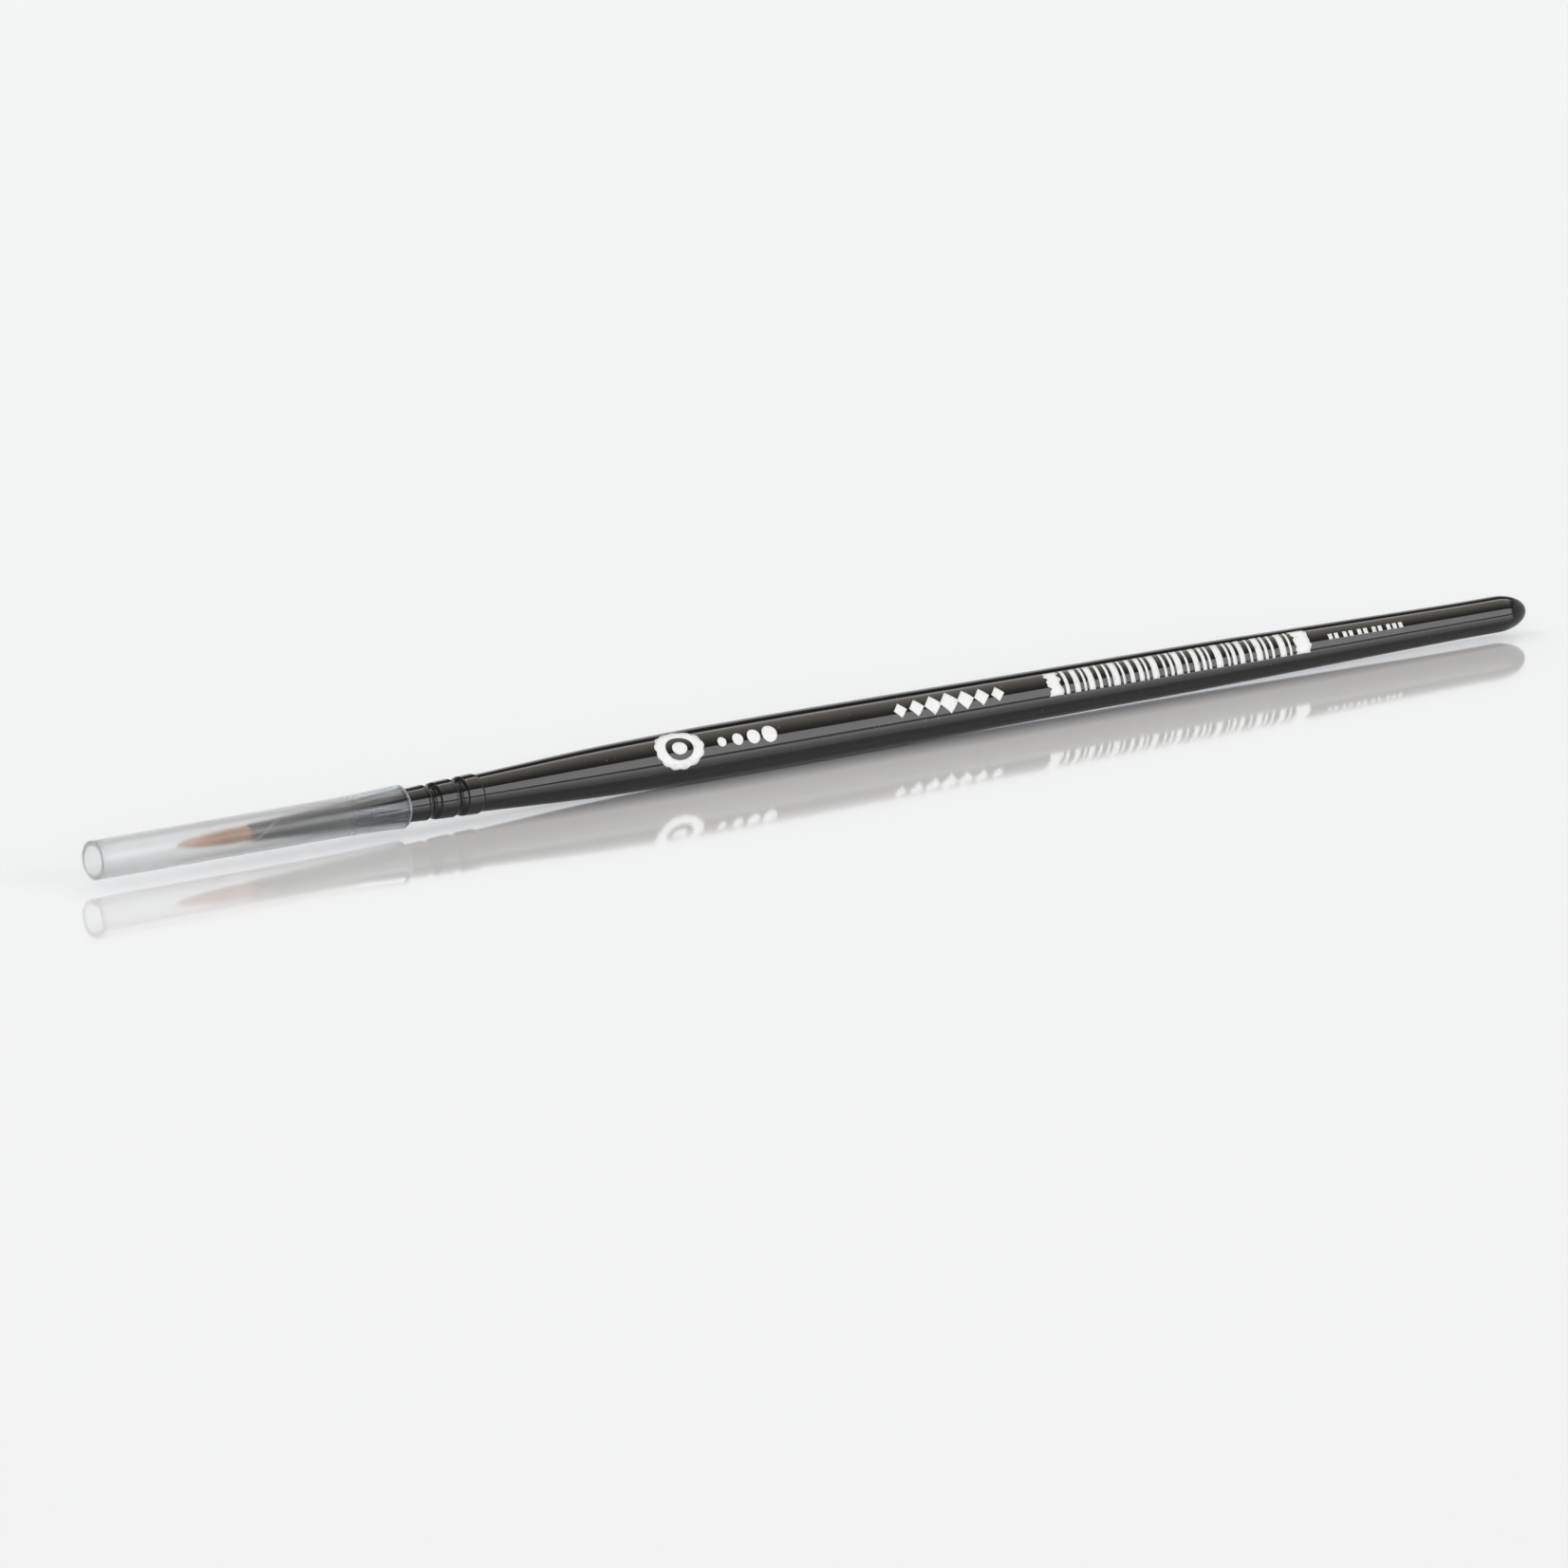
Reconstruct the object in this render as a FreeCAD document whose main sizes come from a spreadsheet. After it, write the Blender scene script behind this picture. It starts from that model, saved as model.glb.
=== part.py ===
import FreeCAD, Part
import math
import os
import re

import Sketcher

# A small round detail brush lying along X, its hair towards -X and its tail towards +X.
# The origin is on the axis, at the middle of the grip, the handle's widest stretch.
# Outlines are drawn along the axis and away from it, then turned about the axis.

SIZES = [
    # handle, a turned hardwood stick
    ("grip_radius", 2.975, "largest radius of the handle"),
    ("grip_length", 8.0, "true cylinder at the widest stretch"),
    ("neck_length", 31.8, "from the back edge of the ferrule to the grip"),
    ("swell_place", 15.3, "where the neck turns into the belly, behind the ferrule"),
    ("swell_drop", 0.225, "how much slimmer than the grip the stick is there"),
    ("swell_ease", 5.0, "reach of the bend on each side of that place"),
    ("grip_ease", 3.0, "reach of the bends on each side of the grip's two corners"),
    ("taper_length", 98.7, "from the grip to the start of the rounded tail"),
    ("waist_place", 36.0, "where the taper slows down, behind the grip"),
    ("waist_drop", 0.275, "how much slimmer than the grip the stick is there"),
    ("waist_ease", 12.0, "reach of the bend on each side of that place"),
    ("reed_place", 57.0, "where the taper quickens again, behind the grip"),
    ("reed_drop", 0.35, "how much slimmer than the grip the stick is there"),
    ("reed_ease", 9.0, "reach of the bend on each side of that place"),
    ("tail_straight", 5.7, "where the taper levels out, ahead of the rounded tail"),
    ("tail_ease", 4.5, "reach of the bend on each side of that place"),
    ("tail_radius", 2.05, "radius where the rounded tail starts"),
    ("dome_length", 4.0, "length of the rounded tail"),
    ("tenon_length", 11.5, "how far the handle reaches into the ferrule"),
    ("tenon_chamfer", 0.3, "chamfer round the tenon's front end"),
    ("neck_relief", 1.0, "slimmer stretch of the stick under the ferrule's back edge"),
    # ferrule, a drawn and crimped metal cone
    ("ferrule_length", 29.25, "from the mouth to the back edge"),
    ("mouth_radius", 0.97, "outside radius at the mouth"),
    ("rear_radius", 2.228, "outside radius of the cone at the back edge"),
    ("ferrule_wall", 0.15, "sheet thickness"),
    ("crimp_setback", 2.7, "from the back edge to the rear crimp"),
    ("crimp_spacing", 3.45, "from the rear crimp to the front crimp"),
    ("front_depth", 0.15, "depth of the front crimp"),
    ("rear_depth", 0.2, "depth of the rear crimp"),
    ("wheel_radius", 1.0, "radius of the bead that rolls a crimp"),
    ("lip_length", 0.45, "how much of the back edge is burnished down"),
    ("lip_flat", 0.05, "metal left standing at the very edge"),
    ("mouth_chamfer", 0.05, "chamfer round the mouth's outer edge"),
    # glue between tenon and ferrule
    ("glue_film", 0.05, "thickness of the glue line"),
    ("glue_pool", 0.4, "glue pushed ahead of the tenon"),
    ("glue_setback", 1.0, "from the end of the glue to the middle of the front crimp"),
    # hair and what holds it
    ("hair_length", 9.4, "how far the hair stands out of the mouth"),
    ("root_length", 8.0, "how far the roots reach into the ferrule"),
    ("root_slack", 0.02, "room between the roots and the mouth's bore"),
    ("tip_pull", 0.3, "pull point that blunts the tip, behind the tip"),
    ("tip_swell", 0.15, "how far that point stands out from the roots"),
    ("belly_pull", 3.5, "pull point of the tuft's belly, ahead of the mouth"),
    ("belly_swell", 0.2, "how far that point stands out from the roots"),
    ("band_length", 0.6, "stretch of the roots that is wound with thread"),
    ("band_thickness", 0.14, "thickness of the winding"),
    ("band_round", 0.04, "chamfer round the winding's two ends"),
    ("band_room", 0.01, "room all round the winding"),
    ("band_setback", 1.2, "from the roots' back end to the winding"),
    ("cement_setback", 2.5, "from the mouth to the hair cement"),
    ("cement_cap", 1.0, "cement behind the roots"),
    # protective tube
    ("tube_length", 39.6, "length of the tube"),
    ("tube_bore", 1.59, "bore radius where the tube isn't stretched"),
    ("tube_wall", 0.55, "wall of the tube"),
    ("tube_grip", 5.93, "how far the tube is pushed on past first contact"),
    ("tube_bend", 3.0, "reach of the bend on each side of first contact"),
    ("tube_clearance", 0.03, "room between the tube and the ferrule"),
    ("front_chamfer", 0.12, "chamfer round the tube's front edge"),
    ("back_chamfer", 0.25, "chamfer round the tube's back edge"),
]

QUARTER_ROUND = 0.5523  # share of its radius at which one cubic curve follows a quarter round
START, END, CENTRE = 1, 2, 3  # the sketcher's numbers for the points of an edge
ORIGIN, ALONG, AWAY = (-1, 1), -1, -2  # the sketch's origin point and its two axes

SLOPE = "((rear_radius - mouth_radius) / ferrule_length)"
MOUTH_PLACE = "-(grip_length / 2 + neck_length + ferrule_length)"
TENON_INSET = "(ferrule_wall + glue_film)"
TENON_FRONT = "(ferrule_length - tenon_length)"
ROOT_RADIUS = "(mouth_radius - ferrule_wall - root_slack)"
CONTACT = f"((tube_bore - tube_clearance - mouth_radius) / {SLOPE})"
REAR_CRIMP = "(ferrule_length - crimp_setback)"
FRONT_CRIMP = f"({REAR_CRIMP} - crimp_spacing)"
GLUE_END = f"({FRONT_CRIMP} - glue_setback)"
BAND_BACK = "(root_length - band_setback)"
BAND_FRONT = f"({BAND_BACK} - band_length)"

document = FreeCAD.newDocument("detail_brush")
sheet = document.addObject("Spreadsheet::Sheet", "Sizes")


def fill_sheet():
    for row, (name, size, meaning) in enumerate(SIZES, start=1):
        sheet.set(f"A{row}", name)
        sheet.set(f"B{row}", str(size))
        sheet.set(f"C{row}", meaning)
        sheet.setAlias(f"B{row}", name)
    document.recompute()


def bound(expression):
    """The expression with each size's name pointed at its cell."""
    return re.sub(r"[a-z]+_[a-z]+", lambda name: "Sizes." + name.group(), expression)


def value(expression):
    return float(sheet.evalExpression(bound(expression)))


def point(corner):
    """A sketch point from a pair of expressions: how far along the axis, and how far from it."""
    return FreeCAD.Vector(value(corner[0]), value(corner[1]), 0)


def cone(place, inset):
    """A corner on the ferrule's cone, a distance behind the mouth and inside the outer face by an inset."""
    return place, f"(mouth_radius + {SLOPE} * {place} - {inset})"


class Outline:
    """A closed outline in a body's XZ plane, drawn edge after edge and held by the sheet's sizes."""

    def __init__(self, body, name):
        plane = next(f for f in body.Origin.OriginFeatures if f.Role == "XZ_Plane")
        self.sketch = body.newObject("Sketcher::SketchObject", name)
        self.sketch.AttachmentSupport = (plane, [""])
        self.sketch.MapMode = "FlatFace"
        self.first = None
        self.last = None
        self.corner = None

    def relate(self, kind, *where):
        self.sketch.addConstraint(Sketcher.Constraint(kind, *where))

    def hold(self, kind, *where, size):
        """Adds a dimension and binds it to an expression of sizes."""
        number = value(size)
        if kind == "Angle":
            number = math.radians(number)
        index = self.sketch.addConstraint(Sketcher.Constraint(kind, *where, number))
        self.sketch.setExpression(f"Constraints[{index}]", bound(size))

    def pin(self, edge, end, corner):
        """Holds a point of an edge at a corner, or on an axis where the corner lies on it."""
        for size, kind, axis in zip(corner, ("DistanceX", "DistanceY"), (AWAY, ALONG)):
            if size == "0":
                self.relate("PointOnObject", edge, end, axis)
            else:
                self.hold(kind, *ORIGIN, edge, end, size=size)

    def begin(self, *corner):
        self.corner = corner

    def join(self, start, end, corner, smooth=False):
        """Ties new edges, from their start to their end, to what is drawn. The end stands at corner."""
        if self.last is None:
            self.first = start
            self.pin(*start, self.corner)
        else:
            self.relate("Tangent" if smooth else "Coincident", *self.last, *start)
        self.last = end
        self.pin(*end, corner)
        self.corner = corner

    def straight(self, start, end):
        return self.sketch.addGeometry(Part.LineSegment(start, end), False)

    def line_to(self, *corner):
        edge = self.straight(point(self.corner), point(corner))
        self.join((edge, START), (edge, END), corner)

    def curve_to(self, *pulls):
        """A cubic curve from the last corner. Its control points are the pulls, and it ends on the last."""
        points = [point(corner) for corner in (self.corner, *pulls)]
        spans = len(points) - 3
        repeats = [4, *[1] * (spans - 1), 4]
        curve = Part.BSplineCurve()
        curve.buildFromPolesMultsKnots(points, repeats, list(range(spans + 1)), False, 3)
        edge = self.sketch.addGeometry(curve, False)
        kind = "InternalAlignment:Sketcher::BSplineControlPoint"
        for index, pole in enumerate(points):
            ring = self.sketch.addGeometry(Part.Circle(pole, FreeCAD.Vector(0, 0, 1), 1), True)
            self.relate("Weight", ring, 1.0)
            self.relate(kind, ring, CENTRE, edge, index)
            if 0 < index < len(points) - 1:
                self.pin(ring, CENTRE, pulls[index - 1])
        self.join((edge, START), (edge, END), pulls[-1])

    def arc(self, centre, start, end, clockwise):
        """Draws a round edge and returns it with its points in the order given."""
        first, last = (end, start) if clockwise else (start, end)
        angles = [math.atan2(p.y - centre.y, p.x - centre.x) for p in (first, last)]
        if angles[1] < angles[0]:
            angles[1] += 2 * math.pi
        circle = Part.Circle(centre, FreeCAD.Vector(0, 0, 1), (start - centre).Length)
        edge = self.sketch.addGeometry(Part.ArcOfCircle(circle, *angles), False)
        return (edge, END, START) if clockwise else (edge, START, END)

    def template_to(self, *stations):
        """Straight runs from station to station, with every corner between them eased by an arc.

        A station is its place, its radius and how far the arc reaches along the runs beside it.
        """
        corners = [self.corner, *(station[:2] for station in stations)]
        points = [point(corner) for corner in corners]
        ways = [(b - a).normalize() for a, b in zip(points, points[1:])]
        arcs = []
        ends = [points[0]]
        for (place, _, reach), corner, into, out in zip(stations, points[1:], ways, ways[1:]):
            length = value(reach) / into.x
            start, end = corner - into * length, corner + out * length
            turn = math.atan2(out.y, out.x) - math.atan2(into.y, into.x)
            normal = FreeCAD.Vector(-into.y, into.x, 0)
            centre = start + normal * (length / math.tan(turn / 2))
            arcs.append(self.arc(centre, start, end, clockwise=turn < 0))
            self.hold("DistanceX", *ORIGIN, *arcs[-1][:2], size=f"{place} - {reach}")
            ends += [start, end]
        ends.append(points[-1])
        lines = [self.straight(*pair) for pair in zip(ends[::2], ends[1::2])]
        for (arc, enter, leave), before, after in zip(arcs, lines, lines[1:]):
            self.relate("Tangent", before, END, arc, enter)
            self.relate("Tangent", arc, leave, after, START)
        for corner, spot, before, after in zip(corners[1:], points[1:], lines, lines[1:]):
            guide = self.sketch.addGeometry(Part.Point(spot), True)
            self.pin(guide, START, corner)
            self.relate("PointOnObject", guide, START, before)
            self.relate("PointOnObject", guide, START, after)
        self.join((lines[0], START), (lines[-1], END), corners[-1])

    def burnish_to(self, *corner):
        """A round edge that leaves the ferrule's cone smoothly and bends towards the axis."""
        start, end = point(self.corner), point(corner)
        lean = math.atan(value(SLOPE))
        inward = FreeCAD.Vector(math.sin(lean), -math.cos(lean), 0)
        radius = (end - start).Length ** 2 / (2 * (end - start).dot(inward))
        edge, near, far = self.arc(start + inward * radius, start, end, clockwise=True)
        self.join((edge, near), (edge, far), corner, smooth=True)

    def join_side(self, near, far, backward):
        """Ties in a side that was drawn from front to back. near and far are its ends with their corners."""
        enter, leave = (far, near) if backward else (near, far)
        if self.last is None:
            self.corner = enter[1]
        self.join(enter[0], leave[0], leave[1])

    def crimp(self, place, depth, inset):
        """One rolled crimp: a hollow bead in the cone. Returns its edge and its two ends."""
        lean = math.atan(value(SLOPE))
        along = FreeCAD.Vector(math.cos(lean), math.sin(lean), 0)
        outward = FreeCAD.Vector(-math.sin(lean), math.cos(lean), 0)
        wheel = f"(wheel_radius + {inset})"
        hub = (place, f"{cone(place, '0')[1]} + wheel_radius - {depth}")
        centre = point(hub)
        drop = (centre.y - point(cone(place, inset)).y) * math.cos(lean)
        aside = math.sqrt(value(wheel) ** 2 - drop**2)
        ends = [centre - outward * drop + along * way for way in (-aside, aside)]
        edge = self.arc(centre, *ends, clockwise=False)
        self.hold("Radius", edge[0], size=wheel)
        self.pin(edge[0], CENTRE, hub)
        return edge, ends

    def crimped_side(self, front, back, inset, backward=False):
        """The ferrule's cone with its two crimps, from one distance behind the mouth to another."""
        near, far = cone(front, inset), cone(back, inset)
        first_crimp, first_ends = self.crimp(FRONT_CRIMP, "front_depth", inset)
        last_crimp, last_ends = self.crimp(REAR_CRIMP, "rear_depth", inset)
        lines = [
            self.straight(point(near), first_ends[0]),
            self.straight(first_ends[1], last_ends[0]),
            self.straight(last_ends[1], point(far)),
        ]
        edges = [(lines[0], START, END), first_crimp, (lines[1], START, END)]
        edges += [last_crimp, (lines[2], START, END)]
        for (edge, _, end), (following, start, _) in zip(edges, edges[1:]):
            self.relate("Coincident", edge, end, following, start)
        self.relate("Tangent", lines[0], lines[1])
        for line in (lines[0], lines[2]):
            self.hold("Angle", line, size=f"atan({SLOPE})")
        self.join_side(((lines[0], START), near), ((lines[2], END), far), backward)

    def flared_side(self, radius, backward=False):
        """The tube's bore or its outside: straight, then bent to the ferrule's slope where it grips."""
        lean = math.atan(value(SLOPE))
        bend = ("(tube_length - tube_grip - tube_bend)", radius)
        near, far = ("0", radius), ("tube_length", f"{radius} + {SLOPE} * tube_grip")
        turn = value("tube_bend") / math.tan(lean / 2)
        centre = point(bend) + FreeCAD.Vector(0, turn, 0)
        release = centre + FreeCAD.Vector(math.sin(lean), -math.cos(lean), 0) * turn
        level = self.straight(point(near), point(bend))
        arc, enter, leave = self.arc(centre, point(bend), release, clockwise=False)
        slant = self.straight(release, point(far))
        self.relate("Horizontal", level)
        self.hold("DistanceX", *ORIGIN, level, END, size=bend[0])
        self.relate("Tangent", level, END, arc, enter)
        self.relate("Tangent", arc, leave, slant, START)
        self.hold("Angle", slant, size=f"atan({SLOPE})")
        self.join_side(((level, START), near), ((slant, END), far), backward)

    def closed(self):
        """The sketch, closed by a straight edge back to the first corner."""
        finish = self.sketch.getPoint(*self.first)
        edge = self.straight(point(self.corner), finish)
        self.relate("Coincident", *self.last, edge, START)
        self.relate("Coincident", edge, END, *self.first)
        return self.sketch


def new_body(name, place):
    body = document.addObject("PartDesign::Body", name)
    body.Label = name
    body.setExpression("Placement.Base.x", bound(place))
    return body


def turn(body, name, sketch):
    """The outline turned once about the brush's axis."""
    feature = body.newObject("PartDesign::Revolution", name)
    feature.Profile = sketch
    feature.ReferenceAxis = (sketch, ["H_Axis"])
    feature.Angle = 360
    document.recompute()
    return feature


def chamfer_edge(body, name, base, corner, size):
    """A chamfer on the circular edge that passes through a corner of the outline."""
    place = point(corner)
    feature = body.newObject("PartDesign::Chamfer", name)
    for number, edge in enumerate(base.Shape.Edges, start=1):
        if isinstance(edge.Curve, Part.Circle):
            gap = abs(edge.Curve.Center.x - place.x) + abs(edge.Curve.Radius - place.y)
            if gap < 1e-4:
                feature.Base = (base, [f"Edge{number}"])
    feature.setExpression("Size", bound(size))
    document.recompute()
    return feature


def make_handle():
    """Turned stick: crimped tenon, swelling neck, grip, long taper and rounded tail."""
    body = new_body("handle", MOUTH_PLACE)
    outline = Outline(body, "handle_outline")
    relief = "(ferrule_length - neck_relief)"
    neck = cone("ferrule_length", TENON_INSET)
    grip = "(ferrule_length + neck_length)"
    grip_end = f"({grip} + grip_length)"
    dome = f"({grip_end} + taper_length)"
    tail_end = f"({dome} + dome_length)"
    outline.begin(TENON_FRONT, "0")
    outline.line_to(TENON_FRONT, f"{cone(TENON_FRONT, TENON_INSET)[1]} - tenon_chamfer")
    outline.line_to(*cone(f"({TENON_FRONT} + tenon_chamfer)", TENON_INSET))
    outline.line_to(*cone(GLUE_END, TENON_INSET))
    outline.line_to(*cone(GLUE_END, "ferrule_wall"))
    outline.crimped_side(GLUE_END, relief, "ferrule_wall")
    outline.line_to(*cone(relief, TENON_INSET))
    outline.line_to(*neck)
    outline.template_to(
        ("ferrule_length + swell_place", "grip_radius - swell_drop", "swell_ease"),
        (f"{grip} - grip_ease", "grip_radius", "grip_ease"),
        (f"{grip_end} + grip_ease", "grip_radius", "grip_ease"),
        (f"{grip_end} + waist_place", "grip_radius - waist_drop", "waist_ease"),
        (f"{grip_end} + reed_place", "grip_radius - reed_drop", "reed_ease"),
        (f"{dome} - tail_straight", "tail_radius", "tail_ease"),
        (dome, "tail_radius", "0"),
    )
    outline.curve_to(
        (f"{dome} + dome_length * {QUARTER_ROUND}", "tail_radius"),
        (tail_end, f"tail_radius * {QUARTER_ROUND}"),
        (tail_end, "0"),
    )
    turn(body, "turned_stick", outline.closed())


def make_ferrule():
    """Drawn sheet-metal cone with two rolled crimps and a burnished back edge."""
    body = new_body("ferrule", MOUTH_PLACE)
    outline = Outline(body, "ferrule_outline")
    bore_end = cone("ferrule_length", "ferrule_wall")
    outline.crimped_side("0", "(ferrule_length - lip_length)", "0")
    outline.burnish_to("ferrule_length", f"{bore_end[1]} + lip_flat")
    outline.line_to(*bore_end)
    outline.crimped_side("0", "ferrule_length", "ferrule_wall", backward=True)
    drawn = turn(body, "drawn_cone", outline.closed())
    chamfer_edge(body, "mouth_edge", drawn, ("0", "mouth_radius"), "mouth_chamfer")


def make_tenon_adhesive():
    """Glue round the tenon's front, up to the crimps, and the pool that the tenon pushed ahead."""
    body = new_body("tenon_adhesive", MOUTH_PLACE)
    outline = Outline(body, "glue_outline")
    front = f"({TENON_FRONT} - glue_pool)"
    outline.begin(front, "0")
    outline.line_to(*cone(front, "ferrule_wall"))
    outline.line_to(*cone(GLUE_END, "ferrule_wall"))
    outline.line_to(*cone(GLUE_END, TENON_INSET))
    outline.line_to(*cone(f"({TENON_FRONT} + tenon_chamfer)", TENON_INSET))
    outline.line_to(TENON_FRONT, f"{cone(TENON_FRONT, TENON_INSET)[1]} - tenon_chamfer")
    outline.line_to(TENON_FRONT, "0")
    turn(body, "glue_line", outline.closed())


def make_hair_tuft():
    """The bundle of hair: a soft blunt tip, a slight belly and straight roots in the ferrule."""
    body = new_body("hair_tuft", f"{MOUTH_PLACE} - hair_length")
    outline = Outline(body, "tuft_outline")
    root_end = "(hair_length + root_length)"
    outline.begin("0", "0")
    outline.curve_to(
        ("tip_pull", f"{ROOT_RADIUS} + tip_swell"),
        ("hair_length - belly_pull", f"{ROOT_RADIUS} + belly_swell"),
        ("hair_length", ROOT_RADIUS),
    )
    outline.line_to(root_end, ROOT_RADIUS)
    outline.line_to(root_end, "0")
    turn(body, "bundle", outline.closed())


def make_binding_thread():
    """Thread wound round the roots, as one plain band."""
    body = new_body("binding_thread", MOUTH_PLACE)
    outline = Outline(body, "band_outline")
    low = f"({ROOT_RADIUS} + band_room)"
    high = f"({low} + band_thickness)"
    outline.begin(BAND_FRONT, low)
    outline.line_to(BAND_FRONT, f"{high} - band_round")
    outline.line_to(f"{BAND_FRONT} + band_round", high)
    outline.line_to(f"{BAND_BACK} - band_round", high)
    outline.line_to(BAND_BACK, f"{high} - band_round")
    outline.line_to(BAND_BACK, low)
    turn(body, "winding", outline.closed())


def make_hair_cement():
    """Resin that fills the ferrule round the roots and their binding, and closes it behind them."""
    body = new_body("hair_cement", MOUTH_PLACE)
    outline = Outline(body, "cement_outline")
    back = "(root_length + cement_cap)"
    relief_front = f"({BAND_FRONT} - band_room)"
    relief_back = f"({BAND_BACK} + band_room)"
    relief = f"({ROOT_RADIUS} + band_thickness + 2 * band_room)"
    outline.begin("cement_setback", ROOT_RADIUS)
    outline.line_to(*cone("cement_setback", "ferrule_wall"))
    outline.line_to(*cone(back, "ferrule_wall"))
    outline.line_to(back, "0")
    outline.line_to("root_length", "0")
    outline.line_to("root_length", ROOT_RADIUS)
    outline.line_to(relief_back, ROOT_RADIUS)
    outline.line_to(relief_back, relief)
    outline.line_to(relief_front, relief)
    outline.line_to(relief_front, ROOT_RADIUS)
    turn(body, "cement", outline.closed())


def make_protective_tube():
    """Soft plastic tube pushed over the hair until the ferrule's cone stretches its back end."""
    place = f"{MOUTH_PLACE} + {CONTACT} + tube_grip - tube_length"
    body = new_body("protective_tube", place)
    outline = Outline(body, "tube_outline")
    outside = "(tube_bore + tube_wall)"
    back_corner = ("tube_length", f"{outside} + {SLOPE} * tube_grip")
    outline.flared_side("tube_bore")
    outline.line_to(*back_corner)
    outline.flared_side(outside, backward=True)
    sleeve = turn(body, "sleeve", outline.closed())
    front = chamfer_edge(body, "front_edge", sleeve, ("0", outside), "front_chamfer")
    chamfer_edge(body, "back_edge", front, back_corner, "back_chamfer")


def check_document():
    """Stops if any object failed or any piece has no valid shape."""
    for item in document.Objects:
        if "Invalid" in item.State or "Error" in item.State:
            raise RuntimeError(f"{item.Name} failed: {item.State}")
    for body in document.findObjects("PartDesign::Body"):
        if body.Shape.isNull() or not body.Shape.isValid():
            raise RuntimeError(f"{body.Label} has no valid shape")


fill_sheet()
make_handle()
make_ferrule()
make_tenon_adhesive()
make_hair_tuft()
make_binding_thread()
make_hair_cement()
make_protective_tube()
document.recompute()
check_document()
os.makedirs("parts", exist_ok=True)
for piece in document.findObjects("PartDesign::Body"):
    piece.Shape.exportStep(f"parts/{piece.Label}.step")
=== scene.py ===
import math
import random

import bmesh
import bpy
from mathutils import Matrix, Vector


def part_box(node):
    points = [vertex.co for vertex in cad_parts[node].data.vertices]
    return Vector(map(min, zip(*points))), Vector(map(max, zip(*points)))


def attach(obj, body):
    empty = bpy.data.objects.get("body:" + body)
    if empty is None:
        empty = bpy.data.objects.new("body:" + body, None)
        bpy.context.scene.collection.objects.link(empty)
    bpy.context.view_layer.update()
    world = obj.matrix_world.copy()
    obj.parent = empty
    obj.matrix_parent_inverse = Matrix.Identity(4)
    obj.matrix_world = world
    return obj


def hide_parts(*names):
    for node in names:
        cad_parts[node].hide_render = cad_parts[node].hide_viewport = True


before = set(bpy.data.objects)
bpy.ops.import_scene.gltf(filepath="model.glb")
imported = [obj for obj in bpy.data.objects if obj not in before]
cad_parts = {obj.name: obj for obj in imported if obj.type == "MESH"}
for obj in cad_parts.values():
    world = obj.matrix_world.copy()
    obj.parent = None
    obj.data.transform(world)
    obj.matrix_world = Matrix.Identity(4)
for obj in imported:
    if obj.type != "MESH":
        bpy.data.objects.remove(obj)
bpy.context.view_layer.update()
MM = 0.001


# ---------------------------------------------------------------- profiles

def rings_of(node):
    """Nearest and farthest vertex from the axis in each ring of a turned CAD node, front to back, in mm."""
    rings = {}
    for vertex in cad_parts[node].data.vertices:
        place = round(vertex.co.x / MM, 3)
        radius = math.hypot(vertex.co.y, vertex.co.z) / MM
        near, far = rings.get(place, (radius, radius))
        rings[place] = (min(near, radius), max(far, radius))
    return [(place, *rings[place]) for place in sorted(rings)]


def smooth_line(points, gap):
    """A smooth line (a Catmull-Rom spline) through points, with a new point about every gap."""
    line = [points[0]]
    padded = [points[0], *points, points[-1]]
    for before, start, end, after in zip(padded, padded[1:], padded[2:], padded[3:]):
        steps = max(1, round(math.dist(start, end) / gap))
        pairs = ((before, start), (start, end), (end, after))
        first, middle, last = (max(math.dist(one, two), 1e-9) ** 0.5 for one, two in pairs)
        for step in range(1, steps + 1):
            t = step / steps
            made = []
            for a, b, c, d in zip(before, start, end, after):
                leaving = arriving = c - b
                if before != start:
                    leaving = ((b - a) / first - (c - a) / (first + middle) + (c - b) / middle) * middle
                if end != after:
                    arriving = ((c - b) / middle - (d - b) / (middle + last) + (d - c) / last) * middle
                made.append(
                    (2 * t**3 - 3 * t**2 + 1) * b
                    + (t**3 - 2 * t**2 + t) * leaving
                    + (3 * t**2 - 2 * t**3) * c
                    + (t**3 - t**2) * arriving
                )
            line.append(tuple(made))
    return line


def rounded(centre, radii, start, end, steps):
    """Points on a quarter of an ellipse, angles in degrees."""
    arc = []
    for step in range(steps + 1):
        angle = math.radians(start + (end - start) * step / steps)
        arc.append((centre[0] + radii[0] * math.cos(angle), centre[1] + radii[1] * math.sin(angle)))
    return arc


def spot_round(place, radius, angle):
    """A point in mm: its place along the axis, its radius and its turn from +Y towards +Z."""
    return Vector((place, radius * math.cos(angle), radius * math.sin(angle)))


def finished(form, name):
    """The mesh of a form, which is freed."""
    mesh = bpy.data.meshes.new(name)
    form.to_mesh(mesh)
    form.free()
    return mesh


def add_piece(name, mesh, body, material, instead_of=()):
    """A smooth-shaded visual piece that rides on a body and the CAD nodes it replaces."""
    piece = bpy.data.objects.new(name, mesh)
    bpy.context.scene.collection.objects.link(piece)
    mesh.materials.append(material)
    for face in mesh.polygons:
        face.use_smooth = True
    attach(piece, body)
    if instead_of:
        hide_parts(*instead_of)


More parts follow.
